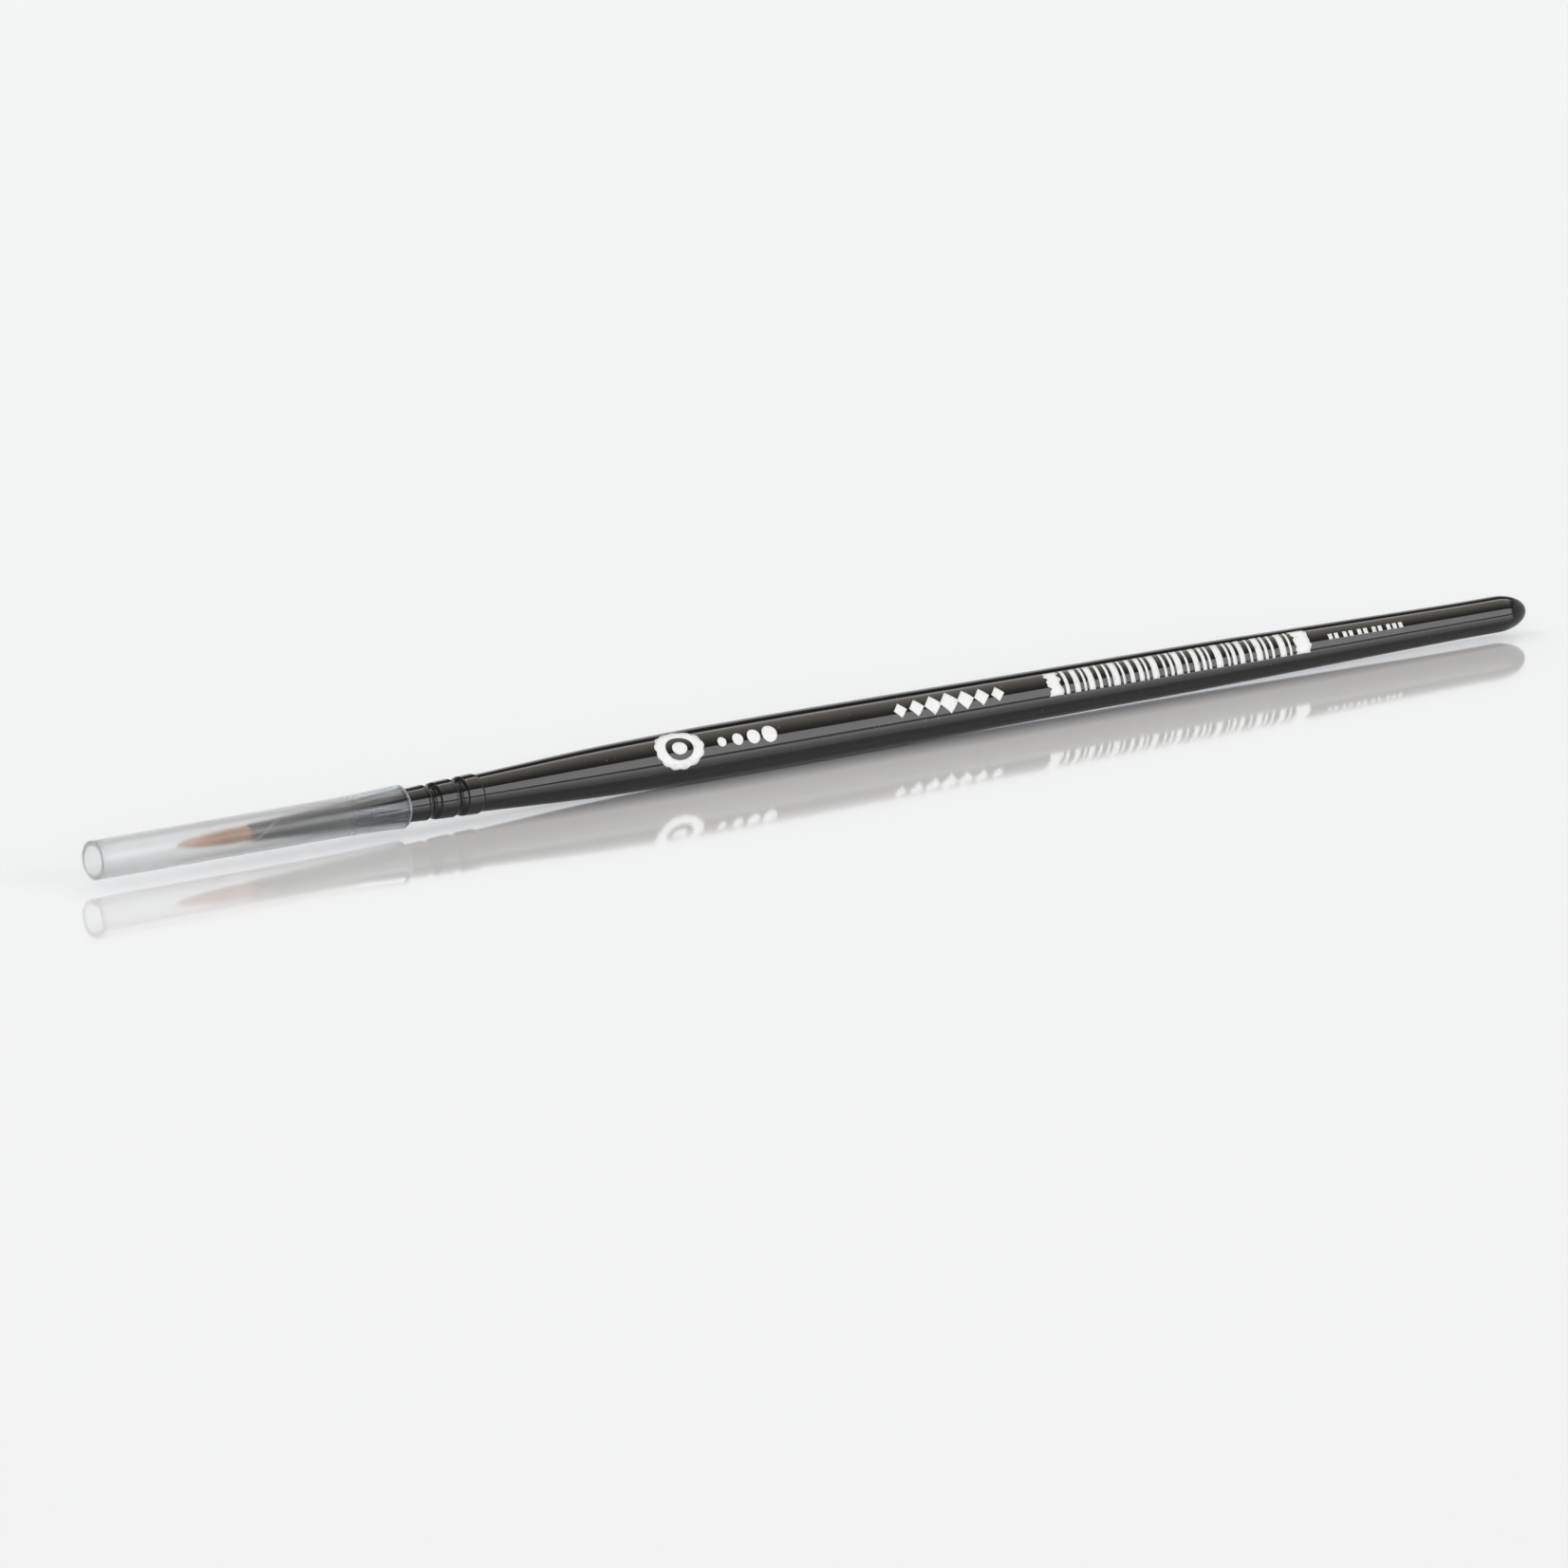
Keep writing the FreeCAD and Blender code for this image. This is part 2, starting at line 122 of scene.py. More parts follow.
def turned(name, profile, segments, closed=True, nudge=None):
    """Mesh of a profile, (place, radius) in mm, turned about X. Radius 0 makes a pole."""
    form = bmesh.new()
    rows = []
    for place, radius in profile:
        if radius < 1e-6:
            rows.append([form.verts.new((place * MM, 0, 0))])
            continue
        row = []
        for segment in range(segments):
            angle = math.tau * segment / segments
            spot = spot_round(place, radius, angle)
            if nudge:
                spot = nudge(spot, angle)
            row.append(form.verts.new(spot * MM))
        rows.append(row)
    pairs = list(zip(rows, rows[1:]))
    if closed:
        pairs.append((rows[-1], rows[0]))
    for near, far in pairs:
        for segment in range(segments):
            after = (segment + 1) % segments
            if len(near) == 1 and len(far) == 1:
                continue
            if len(near) == 1:
                form.faces.new((near[0], far[segment], far[after]))
            elif len(far) == 1:
                form.faces.new((near[segment], far[0], near[after]))
            else:
                form.faces.new((near[segment], far[segment], far[after], near[after]))
    bmesh.ops.recalc_face_normals(form, faces=form.faces)
    return finished(form, name)


# --------------------------------------------------------------- materials

class Nodes:
    """A node tree, built one node at a time. A socket takes another node's output or a constant."""

    def __init__(self, tree):
        self.tree = tree

    def node(self, kind, **settings):
        made = self.tree.nodes.new(kind)
        for setting, setting_value in settings.items():
            setattr(made, setting, setting_value)
        return made

    def feed(self, socket, source):
        if isinstance(source, bpy.types.NodeSocket):
            self.tree.links.new(source, socket)
        else:
            socket.default_value = source

    def remap(self, source, low, high, new_low=0.0, new_high=1.0):
        made = self.node("ShaderNodeMapRange", interpolation_type="SMOOTHSTEP")
        self.feed(made.inputs["Value"], source)
        made.inputs["From Min"].default_value, made.inputs["From Max"].default_value = low, high
        made.inputs["To Min"].default_value, made.inputs["To Max"].default_value = new_low, new_high
        return made.outputs["Result"]

    def math(self, operation, one, two=0.0):
        made = self.node("ShaderNodeMath", operation=operation)
        self.feed(made.inputs[0], one)
        self.feed(made.inputs[1], two)
        return made.outputs["Value"]

    def mix(self, share, one, two):
        made = self.node("ShaderNodeMix", data_type="RGBA")
        self.feed(made.inputs["Factor"], share)
        self.feed(made.inputs["A"], one)
        self.feed(made.inputs["B"], two)
        return made.outputs["Result"]


class Shader(Nodes):
    """A Principled material whose patterns lie in the piece's own coordinates."""

    def __init__(self, name):
        self.material = bpy.data.materials.new(name)
        self.material.use_nodes = True
        super().__init__(self.material.node_tree)
        self.surface = self.tree.nodes["Principled BSDF"]
        self.place = self.node("ShaderNodeTexCoord").outputs["Object"]

    def set(self, **inputs):
        for name, source in inputs.items():
            self.feed(self.surface.inputs[name.replace("_", " ")], source)

    def stretched(self, along, across):
        """The place, with so many cells per metre along the brush and across it."""
        mapping = self.node("ShaderNodeMapping")
        self.feed(mapping.inputs["Vector"], self.place)
        mapping.inputs["Scale"].default_value = (along, across, across)
        return mapping.outputs["Vector"]

    def noise(self, along, across, detail=3.0, roughness=0.5):
        made = self.node("ShaderNodeTexNoise")
        self.feed(made.inputs["Vector"], self.stretched(along, across))
        made.inputs["Scale"].default_value = 1.0
        made.inputs["Detail"].default_value = detail
        made.inputs["Roughness"].default_value = roughness
        return made.outputs["Fac"]

    def along(self):
        split = self.node("ShaderNodeSeparateXYZ")
        self.feed(split.inputs["Vector"], self.place)
        return split.outputs["X"]

    def bump(self, height, depth):
        made = self.node("ShaderNodeBump")
        made.inputs["Distance"].default_value = depth
        self.feed(made.inputs["Height"], height)
        return made.outputs["Normal"]


def lacquer(name, tint, specks):
    """Thick black gloss lacquer with a faint orange peel, dust under it and hairline rubs."""
    shader = Shader(name)
    cloud = shader.noise(90, 420, detail=2)
    dust = shader.remap(shader.noise(2600, 2600, detail=1), 0.74, 0.80)
    rub = shader.remap(shader.noise(55, 5200, detail=2), 0.70, 0.78)
    deep = shader.mix(shader.remap(cloud, 0.35, 0.65), (*tint, 1), (*[part * 1.7 for part in tint], 1))
    dusty = shader.mix(shader.math("MULTIPLY", dust, specks), deep, (0.16, 0.15, 0.14, 1))
    worn = shader.math("MULTIPLY", rub, 0.10)
    rough = shader.math("ADD", shader.remap(cloud, 0.3, 0.7, 0.05, 0.085), worn)
    peel = shader.bump(shader.noise(700, 900, detail=1), 0.0000016)
    shader.set(Base_Color=dusty, Roughness=rough, Normal=peel, IOR=1.45)
    return shader.material


def ink():
    """White pad print, slightly chalky, thin in places."""
    shader = Shader("print_white")
    thin = shader.remap(shader.noise(1500, 1500, detail=4, roughness=0.7), 0.56, 0.72)
    shade = shader.mix(shader.math("MULTIPLY", thin, 0.45), (0.80, 0.81, 0.80, 1), (0.30, 0.30, 0.29, 1))
    grain = shader.noise(4000, 4000, detail=2)
    shader.set(Base_Color=shade, Roughness=shader.remap(grain, 0.3, 0.7, 0.35, 0.5), IOR=1.45)
    shader.set(Normal=shader.bump(grain, 0.000002))
    return shader.material


def hair(name, pale, dark, tip):
    """Synthetic hair: locks and strands of their own shades, with bright specks."""
    shader = Shader(name)
    strand = shader.noise(70, 7000, detail=2)
    lock = shader.noise(130, 2300, detail=2)
    shade = shader.mix(shader.remap(strand, 0.38, 0.62), dark, pale)
    shade = shader.mix(shader.remap(lock, 0.50, 0.62, 0.0, 0.7), shade, dark)
    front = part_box("hair_tuft")[0].x
    towards_tip = shader.remap(shader.along(), front + 0.0042, front)
    shade = shader.mix(shader.math("MULTIPLY", towards_tip, 0.6), shade, tip)
    specks = shader.remap(shader.noise(2200, 4200, detail=1), 0.70, 0.76)
    shader.set(Base_Color=shader.mix(specks, shade, (0.95, 0.88, 0.80, 1)), IOR=1.5)
    shader.set(Roughness=shader.remap(strand, 0.3, 0.7, 0.38, 0.6))
    shader.set(Normal=shader.bump(shader.noise(500, 5000, detail=1), 0.00004))
    return shader.material


def tube_plastic():
    """Soft extruded plastic: milky where it stands free, clear and streaked where it is stretched."""
    shader = Shader("tube_frosted")
    front, back = (corner.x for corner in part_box("protective_tube"))
    along = shader.along()
    stretched_on = shader.remap(along, back - 0.0106, back - 0.0014)
    front_cut = shader.remap(along, front + 0.00008, front + 0.00020, 1, 0)
    back_cut = shader.remap(along, back - 0.00025, back - 0.00008)
    cut_face = shader.math("MAXIMUM", front_cut, shader.math("MULTIPLY", back_cut, 0.55))
    streak = shader.noise(45, 3600, detail=3, roughness=0.6)
    scuff = shader.remap(shader.noise(900, 2600, detail=4, roughness=0.65), 0.62, 0.76)
    haze = shader.noise(160, 500, detail=2)
    milk = shader.mix(haze, (0.93, 0.95, 0.96, 1), (0.97, 0.98, 0.98, 1))
    clear = shader.mix(
        shader.remap(streak, 0.42, 0.60), (0.60, 0.66, 0.72, 1), (0.95, 0.96, 0.97, 1)
    )
    colour = shader.mix(stretched_on, milk, clear)
    shader.set(Base_Color=shader.mix(shader.math("MULTIPLY", scuff, 0.5), colour, (1, 1, 1, 1)), IOR=1.37)
    grazing = shader.node("ShaderNodeLayerWeight")
    grazing.inputs["Blend"].default_value = 0.5
    edge_on = shader.remap(grazing.outputs["Facing"], 0.40, 1.0, 0.0, 0.62)
    milky = shader.math("ADD", shader.remap(haze, 0.3, 0.7, 0.025, 0.05), edge_on)
    thin = shader.math("MULTIPLY", milky, shader.remap(stretched_on, 0, 1, 1, 0.30))
    worn = shader.math("MULTIPLY", stretched_on, shader.remap(streak, 0.54, 0.68, 0.0, 0.14))
    scuffed = shader.math("MULTIPLY", scuff, 0.12)
    cloudy = shader.math("ADD", shader.math("ADD", thin, worn), scuffed)
    filled = shader.math("MAXIMUM", cloudy, shader.math("MULTIPLY", cut_face, 0.85))
    shader.set(Transmission_Weight=shader.math("SUBTRACT", 1.0, filled))
    smoothness = shader.remap(stretched_on, 0, 1, 0.31, 0.12)
    shader.set(Roughness=shader.math("ADD", smoothness, shader.math("MULTIPLY", scuff, 0.1)))
    ridges = shader.math("MULTIPLY", streak, shader.remap(stretched_on, 0, 1, 0.12, 1.0))
    shader.set(Normal=shader.bump(ridges, 0.000016))
    return shader.material


def glue(name, colour, cloudy):
    """Hardened resin with small bubbles."""
    shader = Shader(name)
    bubbles = shader.node("ShaderNodeTexVoronoi")
    shader.feed(bubbles.inputs["Vector"], shader.stretched(2500, 2500))
    bubbles.inputs["Scale"].default_value = 1.0
    tone = shader.noise(500, 900, detail=3)
    shader.set(Base_Color=shader.mix(tone, (*colour, 1), (*cloudy, 1)), IOR=1.5)
    shader.set(Roughness=shader.remap(tone, 0.3, 0.7, 0.2, 0.45))
    shader.set(Normal=shader.bump(bubbles.outputs["Distance"], 0.00001))
    return shader.material


def thread():
    """Waxed winding thread: fine turns round the roots, with painted shade in the grooves between the turns.
    """
    shader = Shader("thread_wound")
    turns = shader.node("ShaderNodeTexWave", wave_type="BANDS", bands_direction="X")
    shader.feed(turns.inputs["Vector"], shader.stretched(1, 1))
    turns.inputs["Scale"].default_value = 2600.0
    turns.inputs["Distortion"].default_value = 0.6
    fuzz = shader.noise(5000, 5000, detail=3)
    # Each band runs from painted shade in the groove between two turns to the thread's own colour on the
    # crown.
    shade = shader.mix(turns.outputs["Fac"], (0.30, 0.25, 0.18, 1), (0.72, 0.66, 0.54, 1))
    shader.set(Base_Color=shader.mix(shader.remap(fuzz, 0.55, 0.7), shade, (0.8, 0.76, 0.68, 1)))
    shader.set(Roughness=shader.remap(fuzz, 0.3, 0.7, 0.55, 0.8))
    shader.set(Normal=shader.bump(turns.outputs["Fac"], 0.00002))
    return shader.material


# ------------------------------------------------------------------ handle

ferrule_front, ferrule_back = (corner.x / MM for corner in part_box("ferrule"))
handle_front, handle_back = (corner.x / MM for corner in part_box("handle"))


def handle_profile():
    """The stick's outline: a plain tenon, then the smooth line of the CAD rings, then the rounded tail."""
    rings = [(place, far) for place, _, far in rings_of("handle")]
    shoulder = ferrule_back - 1.0
    tail = handle_back - 4.0
    visible = [ring for ring in rings if shoulder + 0.1 < ring[0] < tail + 0.01]
    tail_radius = visible[-1][1]
    dome = rounded((tail, 0), (handle_back - tail, tail_radius), 90, 0, 28)[1:]
    dome[-1] = (handle_back, 0.0)
    tenon = [(handle_front, 0.0), (handle_front, 1.2), (handle_front + 0.35, 1.5)]
    under = [ring for ring in rings if handle_front + 0.4 < ring[0] <= shoulder + 0.1]
    return tenon + under + smooth_line(visible, 0.9) + dome


handle_line = handle_profile()


def handle_radius(place):
    """Radius of the stick in mm at a place along it."""
    for (ahead, radius), (behind, radius_behind) in zip(handle_line, handle_line[1:]):
        if ahead <= place <= behind and behind > ahead:
            return radius + (radius_behind - radius) * (place - ahead) / (behind - ahead)
    return 0.0


black = lacquer("handle_lacquer_black", (0.0024, 0.0021, 0.0019), 0.5)
add_piece(
    "handle_stick", turned("handle_stick", handle_line, 128, closed=False), "brush", black,
    instead_of=["handle"],
)


# ----------------------------------------------------------------- ferrule

FERRULE_WALL = 0.15
MOUTH_RADIUS, REAR_RADIUS = 0.97, 2.228
FRONT_DEPTH, REAR_DEPTH = 0.26, 0.30
REAR_CRIMP, FRONT_CRIMP = ferrule_back - 2.7, ferrule_back - 6.15


def cone_radius(place):
    """Outer radius of the plain cone, before the crimps are rolled in."""
    share = (place - ferrule_front) / (ferrule_back - ferrule_front)
    return MOUTH_RADIUS + (REAR_RADIUS - MOUTH_RADIUS) * share


def crimp_sink(distance, depth):
    """How deep a rolled crimp lies at a distance from its middle: a rounded valley with a soft brow."""
    half_width = 0.62
    reach = abs(distance) / half_width
    if reach >= 1.9:
        return 0.0
    valley = depth * math.exp(-((reach / 0.62) ** 2))
    brow = 0.030 * math.exp(-(((reach - 1.15) / 0.30) ** 2))
    return valley - brow


def ferrule_surface(place):
    """Outer radius of the ferrule with its crimps, the barrel between them and the burnished back edge."""
    sink = crimp_sink(place - FRONT_CRIMP, FRONT_DEPTH) + crimp_sink(place - REAR_CRIMP, REAR_DEPTH)
    barrel = 0.0
    if FRONT_CRIMP < place < REAR_CRIMP:
        share = (place - FRONT_CRIMP) / (REAR_CRIMP - FRONT_CRIMP)
        barrel = 0.030 * math.sin(math.pi * share) ** 2
    lip = max(0.0, (place - (ferrule_back - 0.5)) / 0.5)
    return cone_radius(place) - sink + barrel - 0.12 * lip**3


def ferrule_profile():
    """The shell's outside from the mouth back, then its bore from the back to the mouth."""
    outer = rounded((ferrule_front + 0.06, cone_radius(ferrule_front) - 0.075), (0.06, 0.075), 180, 90, 5)
    place = ferrule_front + 0.15
    while place < ferrule_back - 0.02:
        outer.append((place, ferrule_surface(place)))
        near_crimp = place > FRONT_CRIMP - 1.5
        place += 0.055 if near_crimp else 0.6
    outer.append((ferrule_back - 0.004, ferrule_surface(ferrule_back)))
    bore = [(ferrule_back - 0.02, 0.0), (ferrule_back - 1.2, 0.0)]
    for crimp, sunk in ((REAR_CRIMP, 0.19), (FRONT_CRIMP, 0.15)):
        bore += [(crimp + 0.7, 0.0), (crimp, sunk), (crimp - 0.7, 0.0)]
    bore += [(ferrule_front + 15, 0.0), (ferrule_front + 0.02, 0.0)]
    return outer + [(place, cone_radius(place) - FERRULE_WALL - sunk) for place, sunk in bore]


metal = lacquer("ferrule_lacquer_black", (0.0028, 0.0025, 0.0023), 0.35)
add_piece(
    "ferrule_shell", turned("ferrule_shell", ferrule_profile(), 128), "brush", metal,
    instead_of=["ferrule"],
)


# --------------------------------------------------------------------- hair

random.seed(20)
tuft_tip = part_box("hair_tuft")[0].x / MM
tuft_line = [(place, far) for place, _, far in rings_of("hair_tuft")]


def tuft_radius(place):
    """Radius of the tuft's outline in mm, and of its roots past the outline's end."""
    for (ahead, radius), (behind, radius_behind) in zip(tuft_line, tuft_line[1:]):
        if ahead <= place <= behind and behind > ahead:
            return radius + (radius_behind - radius) * (place - ahead) / (behind - ahead)
    return 0.8


def strand(form, path, thickness, sides=5):
    """A tapering hair along a path of points in mm, closed at its ends."""
    rows = []
    for index, spot in enumerate(path):
        before, after = path[max(index - 1, 0)], path[min(index + 1, len(path) - 1)]
        along = (after - before).normalized()
        across = along.cross(Vector((0, 0, 1))).normalized()
        up = across.cross(along)
        share = index / (len(path) - 1)
        radius = thickness * (0.16 + 0.84 * min(1.0, share * 3.2) ** 0.7) / 2
        rows.append([
            form.verts.new((spot + (across * math.cos(turn) + up * math.sin(turn)) * radius) * MM)
            for turn in (math.tau * side / sides for side in range(sides))
        ])
    for near, far in zip(rows, rows[1:]):
        for side in range(sides):
            form.faces.new((near[side], near[(side + 1) % sides], far[(side + 1) % sides], far[side]))
    form.faces.new(list(reversed(rows[0])))
    form.faces.new(rows[-1])


HAIRS = 330
HAIR_ROOM = 0.055  # kept free under the tuft's outline, a little over half the thickest hair
MOUTH_ROOM = 0.80  # just inside the bore of the ferrule's mouth


def tuft_mesh():
    """Separate hairs, each from inside the mouth to its own end near the tip, drawn together there."""
    form = bmesh.new()
    golden = math.pi * (3 - math.sqrt(5))
    for index in range(HAIRS):
        share = math.sqrt((index + 0.5) / HAIRS)
        angle = index * golden + random.uniform(-0.1, 0.1)
        late = random.uniform(0.0, 1.0) ** 1.3 + 0.35 * share**2
        end = tuft_tip + 0.02 + late * (0.9 if index % 3 else 3.2)
        root = ferrule_front + 1.6
        drift = random.uniform(-0.22, 0.22)
        sway = random.uniform(0, math.tau)
        path = []
        steps = 15
        for step in range(steps + 1):
            place = end + (root - end) * (step / steps) ** 1.15
            in_mouth = place > ferrule_front - 0.3
            room = min(tuft_radius(place), MOUTH_ROOM if in_mouth else math.inf) - HAIR_ROOM
            gather = 1 - 0.46 * max(0.0, 1 - (place - tuft_tip) / 9.0) ** 1.2
            wobble = 0.012 * math.sin(sway + place * 1.3)
            turn = angle + drift * (ferrule_front - place) / (ferrule_front - tuft_tip)
            path.append(spot_round(place, room * share * gather + wobble, turn))
        strand(form, path, random.uniform(0.075, 0.105))
    return finished(form, "tuft_strands")


def stray_mesh():
    """One loose pale hair that lies over the ferrule's mouth, under the tube."""
    form = bmesh.new()
    path = []
    steps = 24
    for step in range(steps + 1):
        share = step / steps
        place = ferrule_front - 1.9 + 5.6 * share
        angle = math.radians(206 - 70 * share + 16 * math.sin(share * 5))
        reach = 0.93 + 0.30 * math.sin(math.pi * min(1, share * 1.2)) ** 2 + 0.16 * share
        path.append(spot_round(place, reach, angle))
    strand(form, path, 0.085)
    return finished(form, "stray_hair")


tuft_colour = hair("hair_tan", (0.88, 0.52, 0.34, 1), (0.44, 0.20, 0.10, 1), (0.92, 0.62, 0.46, 1))
stray_colour = hair("hair_pale", (0.86, 0.78, 0.68, 1), (0.70, 0.58, 0.46, 1), (0.9, 0.84, 0.76, 1))
add_piece("tuft_strands", tuft_mesh(), "brush", tuft_colour, instead_of=["hair_tuft"])
add_piece("stray_hair", stray_mesh(), "brush", stray_colour)


# --------------------------------------------------------------------- tube

BARREL_RADIUS = 2.14
REAR_BORE, REAR_BARREL = 1.845, 2.395
tube_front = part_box("protective_tube")[0].x / MM


def tube_profile():
    """The sleeve's wall with its cut edges slightly rounded."""
    rings = rings_of("protective_tube")
    within_barrel = BARREL_RADIUS - 0.01
    outer = [(place, far) for place, _, far in rings if far > within_barrel]
    inner = [(place, near) for place, near, _ in rings if near < within_barrel]
    front, back = outer[0][0], outer[-1][0]
    bore, barrel = inner[0][1], BARREL_RADIUS
    outer = [ring for ring in outer if front + 0.3 < ring[0] < back - 0.4]
    inner = [ring for ring in inner if front + 0.3 < ring[0] < back - 0.2]
    lip = rounded((front + 0.10, barrel - 0.10), (0.10, 0.10), 180, 90, 5)
    free = [(front + 2.0 * step, barrel) for step in range(1, 15)]
    shell = lip + free + smooth_line(outer, 0.8)
    shell += rounded((back - 0.24, REAR_BARREL - 0.25), (0.24, 0.24), 90, 0, 7)
    bore_line = [(back, REAR_BORE + 0.05), (back - 0.06, REAR_BORE)]
    bore_line += smooth_line(list(reversed(inner)), 0.8)
    bore_line += [(front + 2.0 * step, bore) for step in range(14, 0, -1)]
    bore_line += [(front + 0.07, bore), (front + 0.02, bore + 0.02)]
    return shell + bore_line


def hand_cut(spot, angle):
    """The front cut isn't quite square, and the soft tube isn't perfectly round there."""
    near_front = max(0.0, 1 - (spot.x - tube_front) / 3.0)
    spot.x += near_front * (0.07 + 0.05 * math.cos(angle - 2.6) + 0.02 * math.cos(3 * angle))
    swell = 1 - 0.006 * near_front * (1 + math.cos(2 * angle + 0.6))
    return Vector((spot.x, spot.y * swell, spot.z * swell))


add_piece(
    "tube_sleeve", turned("tube_sleeve", tube_profile(), 128, nudge=hand_cut), "tube", tube_plastic(),
    instead_of=["protective_tube"],
)


# ------------------------------------------------------------------- prints

PRINT_ANGLE = 38  # degrees from the side (-Y) up towards +Z
PRINT_FILM = 0.016


def on_handle(along, round_about, lift):
    """A point over the handle's surface from its place along it and its distance round it, in mm."""
    radius = handle_radius(along)
    angle = math.radians(PRINT_ANGLE) + round_about / radius
    radius += lift
    return Vector((along, -radius * math.cos(angle), radius * math.sin(angle))) * MM


def film(name, cells):
    """A closed thin film over flat cells, each a list of (along, round about) corners."""
    form = bmesh.new()
    corners = {}

    def corner(spot, lift):
        key = (round(spot[0], 4), round(spot[1], 4), lift)
        if key not in corners:
            corners[key] = form.verts.new(on_handle(spot[0], spot[1], lift))
        return corners[key]

    top, bottom = PRINT_FILM, -PRINT_FILM
    edges = {}
    for cell in cells:
        form.faces.new([corner(spot, top) for spot in cell])
        form.faces.new([corner(spot, bottom) for spot in reversed(cell)])
        for one, two in zip(cell, cell[1:] + cell[:1]):
            here = tuple(round(number, 4) for number in one)
            there = tuple(round(number, 4) for number in two)
            if (there, here) in edges:
                del edges[there, here]
            else:
                edges[here, there] = (one, two)
    for one, two in edges.values():
        form.faces.new([corner(one, bottom), corner(two, bottom), corner(two, top), corner(one, top)])
    bmesh.ops.recalc_face_normals(form, faces=form.faces)
    add_piece(name, finished(form, name), "brush", print_white)


def block(start, end, low, high, fray=0.0):
    """Cells of a rectangle, its ends a little uneven where fray isn't nought."""
    rows = max(1, round((high - low) / 0.3))
    columns = max(1, round((end - start) / 0.5))
    grid = []
    for row in range(rows + 1):
        height = low + (high - low) * row / rows
        left = start + random.uniform(-fray, fray)
        right = end + random.uniform(-fray, fray)
        grid.append([(left + (right - left) * column / columns, height) for column in range(columns + 1)])
    return [
        [grid[r][c], grid[r][c + 1], grid[r + 1][c + 1], grid[r + 1][c]]
        for r in range(rows) for c in range(columns)
    ]


def disc(centre, outer, inner=0.0, corners=0, sides=40, round_about=1.0, scallops=0):
    """Cells of a round, oval or, with corners, lozenge-like spot, or of a ring."""
    def rim(size, turn):
        if scallops and size == outer:
            size *= 1 + 0.07 * abs(math.cos(scallops * turn / 2))
        if corners:
            size /= abs(math.cos(turn)) + abs(math.sin(turn))
        return centre[0] + size * math.cos(turn), centre[1] + size * round_about * math.sin(turn)

    sides = 9 * scallops or sides
    bands = 4
    sizes = [inner + (outer - inner) * band / bands for band in range(bands + 1)]
    cells = []
    for side in range(sides):
        now, then = math.tau * side / sides, math.tau * (side + 1) / sides
        for small, large in zip(sizes, sizes[1:]):
            cell = [rim(small, now), rim(large, now), rim(large, then), rim(small, then)]
            cells.append(cell if small > 1e-6 else cell[:3])
    return cells


print_white = ink()
badge, squash = (-10.5, 0.0), 0.78
rosette = disc(badge, 2.95, inner=1.75, round_about=squash, scallops=13)
film("print_badge", rosette + disc(badge, 0.95, round_about=squash))
sizes = []
for number in range(4):
    sizes += disc((-5.0 + 2.1 * number, -0.15), 0.55 + 0.14 * number)
film("print_size_dots", sizes)
lozenges = []
for number in range(-3, 4):
    lozenges += disc((25.5 + 2.2 * number, -0.1), 1.30 - 0.14 * abs(number), corners=4, sides=16)
film("print_lozenges", lozenges)

bars = []
half_bar = 1.45
place, number = 41.2, 0
while place < 72.4:
    width = 0.32 + 0.62 * (0.5 + 0.5 * math.sin(number * 2.4)) ** 2
    bars += block(place, place + width, -half_bar, half_bar)
    place += width + 0.34 + 0.40 * (0.5 + 0.5 * math.cos(number * 1.7))
    number += 1
for start, end in ((39.1, 40.7), (73.0, 75.0)):
    bars += block(start, end, -half_bar, half_bar, fray=0.28)
film("print_stripes", bars)
dashes = []
place = 77.8
for group in (2, 2, 2, 2, 3):
    for _ in range(group):
        dashes += block(place, place + 0.55, -0.40, 0.26)
        place += 0.85
    place += 0.35
film("print_dashes", dashes)


# ------------------------------------------------- CAD nodes that stay shown

def give_material(node, material):
    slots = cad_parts[node].data.materials
    slots.clear()
    slots.append(material)


give_material("tenon_adhesive", glue("adhesive_resin", (0.62, 0.50, 0.30), (0.78, 0.70, 0.52)))
give_material("hair_cement", glue("cement_resin", (0.32, 0.16, 0.07), (0.46, 0.26, 0.12)))
give_material("binding_thread", thread())


# ------------------------------------------------------------------- studio

# The brush rests where its outline is tangent to the floor under its centre of mass.
REST_PLACE = 6.0
belly = Vector((REST_PLACE, 0, -handle_radius(REST_PLACE))) * MM
rise = handle_radius(REST_PLACE - 0.5) - handle_radius(REST_PLACE + 0.5)


def floor_material():
    """Polished white, so that the brush is mirrored in it."""
    shader = Shader("floor_white")
    tone = shader.noise(3, 3, detail=2)
    shader.set(Base_Color=shader.mix(tone, (0.935, 0.945, 0.96, 1), (0.955, 0.965, 0.98, 1)))
    shader.set(Roughness=shader.remap(shader.noise(14, 14, detail=2), 0.3, 0.7, 0.07, 0.10), IOR=1.5)
    shader.set(Coat_Weight=1.0, Coat_Roughness=0.08, Coat_IOR=1.5)
    return shader.material


def lay_floor():
    """One wide plane, sloped as the brush lies on it."""
    form = bmesh.new()
    half = 5.0
    for x, y in ((-half, -half), (half, -half), (half, half), (-half, half)):
        form.verts.new((x, y, belly.z + (x - belly.x) * rise))
    form.faces.new(form.verts)
    mesh = finished(form, "floor")
    mesh.materials.append(floor_material())
    floor = bpy.data.objects.new("floor", mesh)
    bpy.context.scene.collection.objects.link(floor)


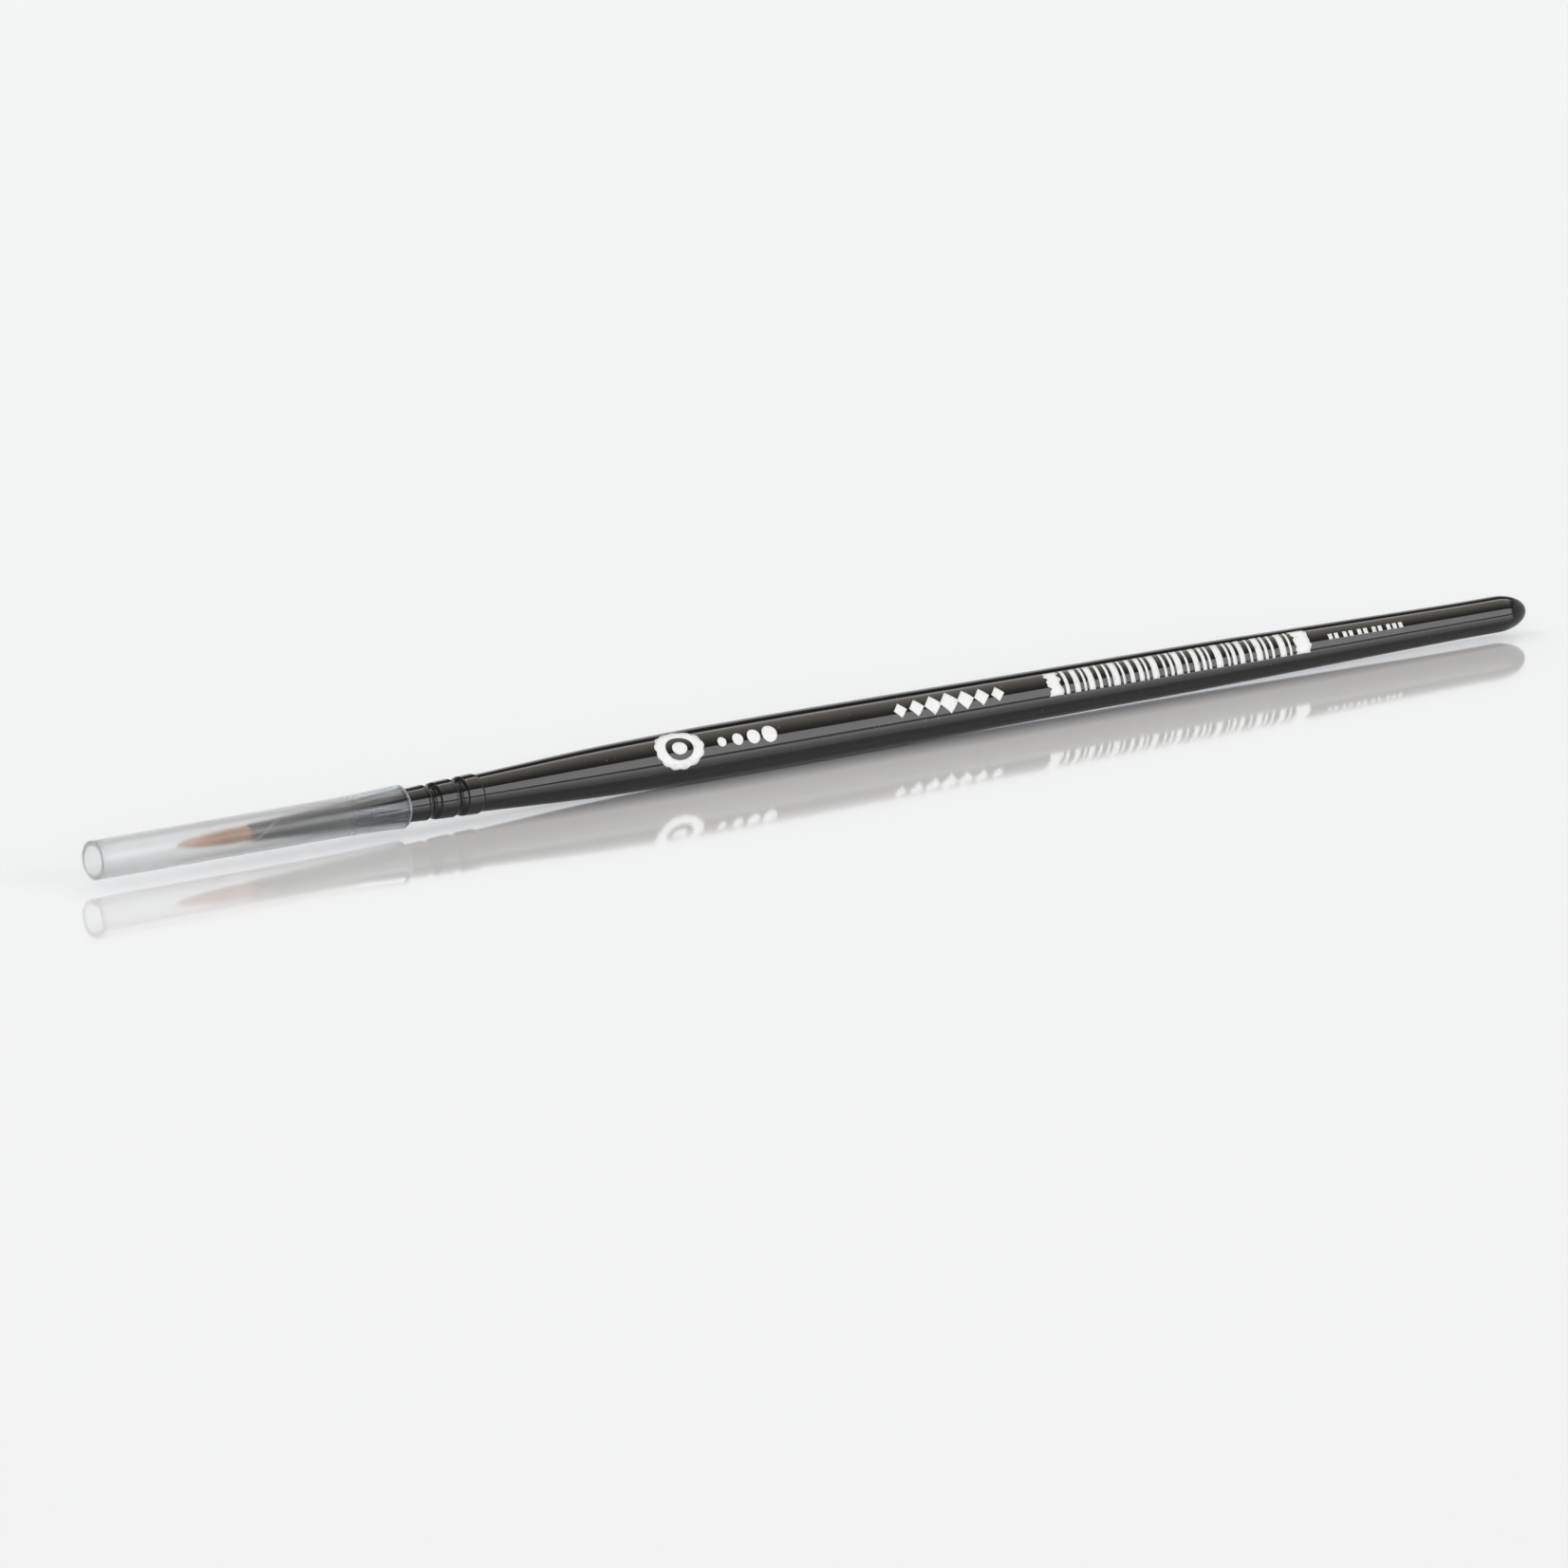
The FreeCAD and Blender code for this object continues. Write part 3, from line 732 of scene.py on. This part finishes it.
BRIGHTEST = 5.8
PLAIN_LEVEL = 0.77
SOFTBOX_STOPS = (  # turn about the brush's axis, strength, tint
    (0.000, 1.0, (1, 1, 1)),
    (0.012, 1.6, (1, 1, 1)),
    (0.026, 5.8, (0.99, 0.99, 1)),
    (0.215, 5.4, (0.98, 0.99, 1)),
    (0.235, 0.3, (1, 0.97, 0.93)),
    (0.33, 0.85, (1, 0.94, 0.86)),
    (0.46, 1.95, (1, 0.93, 0.85)),
    (0.57, 2.4, (1, 0.95, 0.87)),
    (0.61, 2.9, (1, 0.98, 0.93)),
    (0.635, 4.6, (1, 1, 0.95)),
    (0.665, 4.2, (1, 1, 0.96)),
    (0.69, 0.15, (1, 0.95, 0.9)),
    (0.82, 0.15, (1, 0.97, 0.95)),
    (0.86, 1.25, (0.96, 0.98, 1)),
    (1.000, 1.25, (0.96, 0.98, 1)),
)


def softbox_ramp(sky, turn):
    """The light's colour by its turn about the brush's axis, as a share of the brightest."""
    ramp = sky.node("ShaderNodeValToRGB")
    sky.feed(ramp.inputs["Fac"], turn)
    elements = ramp.color_ramp.elements
    while len(elements) < len(SOFTBOX_STOPS):
        elements.new(0.5)
    for element, (position, _, _) in zip(elements, SOFTBOX_STOPS):
        element.position = position
    for element, (_, strength, tint) in zip(elements, SOFTBOX_STOPS):
        element.color = (*[strength / BRIGHTEST * part for part in tint], 1)
    return ramp.outputs["Color"]


def softbox_window(sky, sideways):
    """How much of the softboxes shows: all in a band to each side, little straight across and at the ends."""
    window = sky.node("ShaderNodeFloatCurve")
    curve = window.mapping.curves[0]
    curve.points[0].location = (0.0, 0.15)
    curve.points[1].location = (1.0, 0.0)
    for x, y in ((0.30, 0.18), (0.41, 1.0), (0.70, 1.0), (0.81, 0.03)):
        curve.points.new(x, y)
    window.mapping.update()
    sky.feed(window.inputs["Value"], sideways)
    return window.outputs["Value"]


def light_world():
    """Studio round the brush, by direction: front and overhead softboxes, pale horizon and ends.

    A direction's turn about the brush's axis runs from 0 at the front horizon, over 0.5 overhead,
    to 1 at the back horizon. At the plain level a white matt card above the brush renders at about
    0.9 facing up and 1.06 facing the camera.
    """
    world = bpy.data.worlds.new("studio")
    bpy.context.scene.world = world
    world.use_nodes = True
    world.node_tree.nodes.clear()
    sky = Nodes(world.node_tree)
    direction = sky.node("ShaderNodeSeparateXYZ")
    sky.feed(direction.inputs["Vector"], sky.node("ShaderNodeTexCoord").outputs["Generated"])
    x, y, z = (direction.outputs[letter] for letter in "XYZ")
    turn = sky.math("DIVIDE", sky.math("ARCTAN2", z, sky.math("MULTIPLY", y, -1.0)), math.pi)
    sideways = sky.math("ABSOLUTE", x)

    back_horizon = sky.remap(turn, 0.82, 0.87)
    shown = sky.math("MAXIMUM", softbox_window(sky, sideways), back_horizon)
    softboxes = sky.mix(shown, (0.045, 0.045, 0.047, 1), softbox_ramp(sky, turn))

    horizon = sky.remap(z, 0.03, 0.10, 1.0, 0.0)
    ends = sky.remap(sideways, 0.76, 0.86)
    low = sky.remap(z, 0.45, 0.65, 1.0, 0.0)
    pale = sky.math("MAXIMUM", horizon, sky.math("MULTIPLY", ends, low))
    white = 1 / BRIGHTEST

    background = sky.node("ShaderNodeBackground")
    sky.feed(background.inputs["Color"], sky.mix(pale, softboxes, (white, white, white, 1)))
    sky.feed(background.inputs["Strength"], BRIGHTEST * PLAIN_LEVEL)
    output = sky.node("ShaderNodeOutputWorld")
    sky.feed(output.inputs["Surface"], background.outputs["Background"])


def set_camera():
    """Long lens from the front left, a little above the brush."""
    aim = Vector((4.97, 0.0, -5.03)) * MM
    azimuth, elevation = math.radians(-35.3), math.radians(14.5)
    distance = 1.8625
    back = Vector((
        math.sin(azimuth) * math.cos(elevation),
        -math.cos(azimuth) * math.cos(elevation),
        math.sin(elevation),
    ))
    lens = bpy.data.cameras.new("camera")
    lens.sensor_width = 36.0
    lens.lens = 392.3
    lens.clip_start, lens.clip_end = 0.05, 50.0
    camera = bpy.data.objects.new("camera", lens)
    bpy.context.scene.collection.objects.link(camera)
    camera.location = aim + back * distance
    camera.rotation_mode = "QUATERNION"
    camera.rotation_quaternion = (-back).to_track_quat("-Z", "Y")
    bpy.context.scene.camera = camera


lay_floor()
light_world()
set_camera()
bpy.context.scene.view_settings.view_transform = "Standard"
